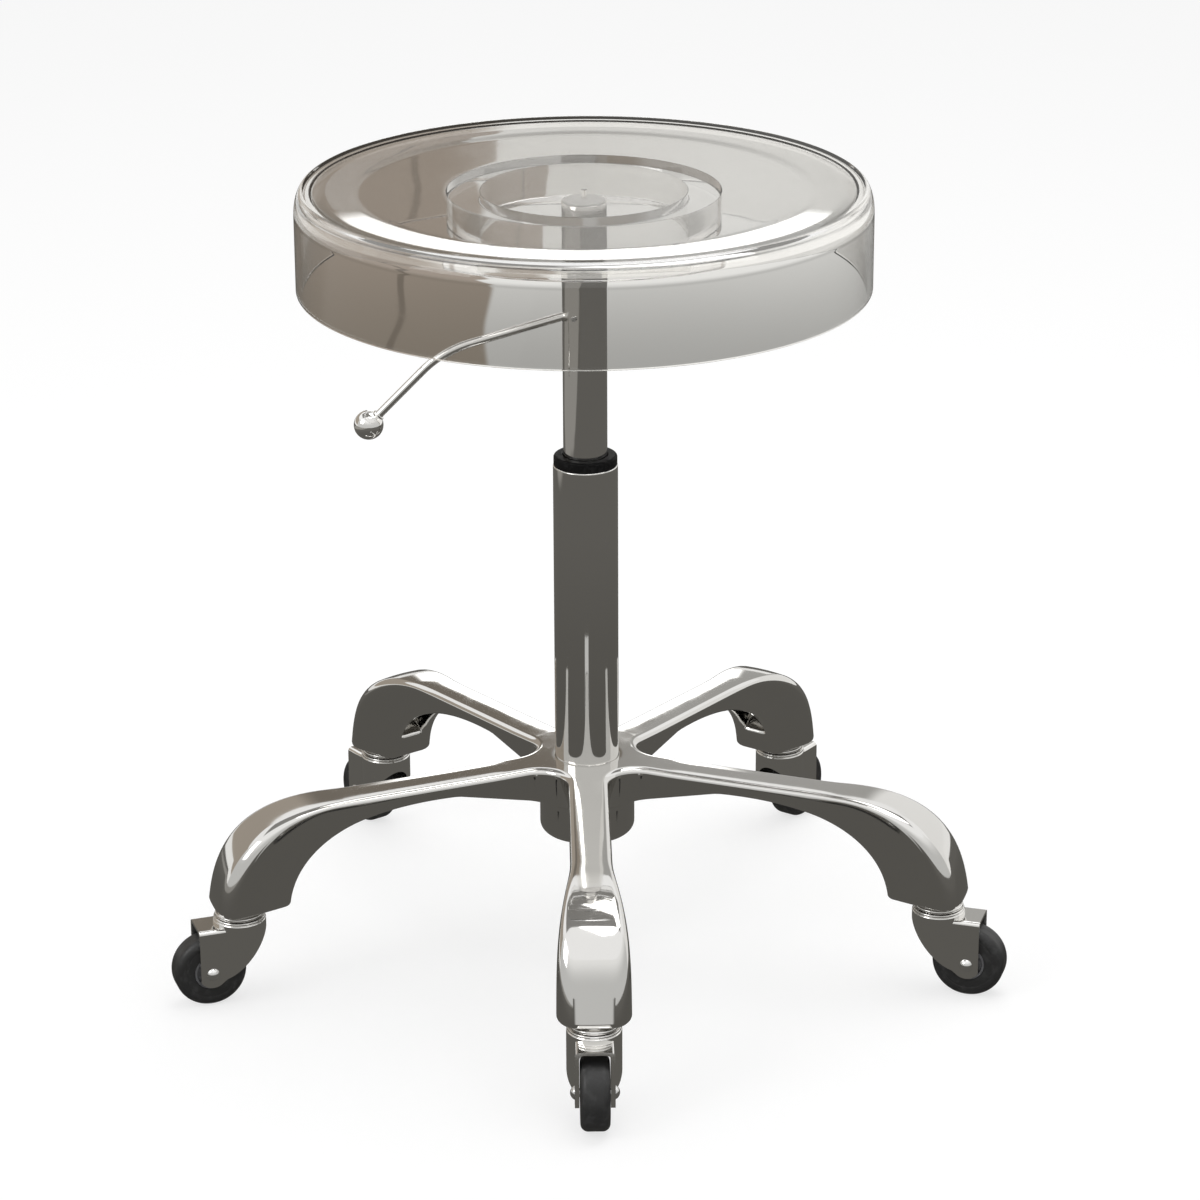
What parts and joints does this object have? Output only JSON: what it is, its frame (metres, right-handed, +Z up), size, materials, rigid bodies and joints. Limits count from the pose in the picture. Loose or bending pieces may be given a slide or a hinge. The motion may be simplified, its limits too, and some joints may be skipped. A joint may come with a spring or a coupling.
{
  "type": "swivel stool",
  "caption": "Clear round swivel stool with a rolled rim, a gas lift column with a bent release lever, and a polished star base with goose-neck legs on casters.",
  "frame": {"origin": "point on the floor under the column's axis", "axes": "+Z up along the column, -Y along the leg that points at the camera, the release lever towards -X"},
  "size_m": [0.574, 0.5464, 0.553],
  "materials": {
    "clear_acrylic": "clear, polished",
    "tube_chrome": "polished",
    "polished_cast": "polished casting",
    "lever_chrome": "polished",
    "fork_chrome": "polished",
    "rod_chrome": "ground and plated",
    "steel": "plain",
    "black_steel": "black, satin",
    "black_nylon": "black, slightly glossy",
    "bumper_rubber": "matte",
    "brass": "turned",
    "wheel_plastic": "dark grey, moulded",
    "tyre": "black, slightly glossy"
  },
  "bodies": {
    "base": {"star_base": "polished_cast", "stand_tube": "tube_chrome", "guide_bush": "black_nylon", "base_plate": "steel", "thrust_bearing": "steel", "stem_1": "steel", "stem_2": "steel", "stem_3": "steel", "stem_4": "steel", "stem_5": "steel", "bearing_cap_1": "fork_chrome", "bearing_cap_2": "fork_chrome", "bearing_cap_3": "fork_chrome", "bearing_cap_4": "fork_chrome", "bearing_cap_5": "fork_chrome"},
    "spindle": {"piston_rod": "rod_chrome", "piston_head": "steel", "retaining_clip": "steel", "rubber_bumper": "bumper_rubber"},
    "seat": {"seat_shell": "clear_acrylic", "support_ring": "clear_acrylic", "seat_boss": "clear_acrylic", "column_plug": "steel", "upper_tube": "tube_chrome", "gas_cylinder": "black_steel", "rod_guide": "black_nylon", "lever_pin": "steel"},
    "lever": {"release_lever": "lever_chrome", "lever_knob": "lever_chrome"},
    "button": {"release_button": "brass"},
    "caster_1": {"fork_1": "fork_chrome", "axle_1": "steel"},
    "wheel_1": {"wheel_hub_1": "wheel_plastic", "tyre_1": "tyre"},
    "caster_2": {"fork_2": "fork_chrome", "axle_2": "steel"},
    "wheel_2": {"wheel_hub_2": "wheel_plastic", "tyre_2": "tyre"},
    "caster_3": {"fork_3": "fork_chrome", "axle_3": "steel"},
    "wheel_3": {"wheel_hub_3": "wheel_plastic", "tyre_3": "tyre"},
    "caster_4": {"fork_4": "fork_chrome", "axle_4": "steel"},
    "wheel_4": {"wheel_hub_4": "wheel_plastic", "tyre_4": "tyre"},
    "caster_5": {"fork_5": "fork_chrome", "axle_5": "steel"},
    "wheel_5": {"wheel_hub_5": "wheel_plastic", "tyre_5": "tyre"}
  },
  "joints": [
    {"name": "seat_swivel", "type": "hinge", "parent": "base", "child": "spindle", "pos_m": [0, 0, 0.2], "axis": [0, 0, 1], "continuous": true},
    {"name": "height_slide", "type": "slide", "parent": "spindle", "child": "seat", "axis": [0, 0, 1], "range_m": [-0.085, 0.015]},
    {"name": "lever_tip", "type": "hinge", "parent": "seat", "child": "lever", "pos_m": [-0.00858, -0.0006, 0.46471], "axis": [-0.0698, 0.9976, 0], "range_deg": [0, 11], "stiffness_Nm_per_rad": 0.5},
    {"name": "button_press", "type": "slide", "parent": "seat", "child": "button", "axis": [0, 0, 1], "range_m": [-0.0026, 0]},
    {"name": "caster_swivel_1", "type": "hinge", "parent": "base", "child": "caster_1", "pos_m": [0, -0.2522, 0.06], "axis": [0, 0, 1], "continuous": true},
    {"name": "wheel_spin_1", "type": "hinge", "parent": "caster_1", "child": "wheel_1", "pos_m": [0, -0.275, 0.025], "axis": [1, 0, 0], "continuous": true},
    {"name": "caster_swivel_2", "type": "hinge", "parent": "base", "child": "caster_2", "pos_m": [0.23986, -0.07793, 0.06], "axis": [0, 0, 1], "continuous": true},
    {"name": "wheel_spin_2", "type": "hinge", "parent": "caster_2", "child": "wheel_2", "pos_m": [0.26154, -0.08498, 0.025], "axis": [0.309, 0.9511, 0], "continuous": true},
    {"name": "caster_swivel_3", "type": "hinge", "parent": "base", "child": "caster_3", "pos_m": [0.14824, 0.20403, 0.06], "axis": [0, 0, 1], "continuous": true},
    {"name": "wheel_spin_3", "type": "hinge", "parent": "caster_3", "child": "wheel_3", "pos_m": [0.16164, 0.22248, 0.025], "axis": [-0.809, 0.5878, 0], "continuous": true},
    {"name": "caster_swivel_4", "type": "hinge", "parent": "base", "child": "caster_4", "pos_m": [-0.14824, 0.20403, 0.06], "axis": [0, 0, 1], "continuous": true},
    {"name": "wheel_spin_4", "type": "hinge", "parent": "caster_4", "child": "wheel_4", "pos_m": [-0.16164, 0.22248, 0.025], "axis": [-0.809, -0.5878, 0], "continuous": true},
    {"name": "caster_swivel_5", "type": "hinge", "parent": "base", "child": "caster_5", "pos_m": [-0.23986, -0.07793, 0.06], "axis": [0, 0, 1], "continuous": true},
    {"name": "wheel_spin_5", "type": "hinge", "parent": "caster_5", "child": "wheel_5", "pos_m": [-0.26154, -0.08498, 0.025], "axis": [0.309, -0.9511, 0], "continuous": true}
  ],
  "couplings": [
    {"joint": "button_press", "follows": "lever_tip", "m_per_rad": -0.012523}
  ]
}
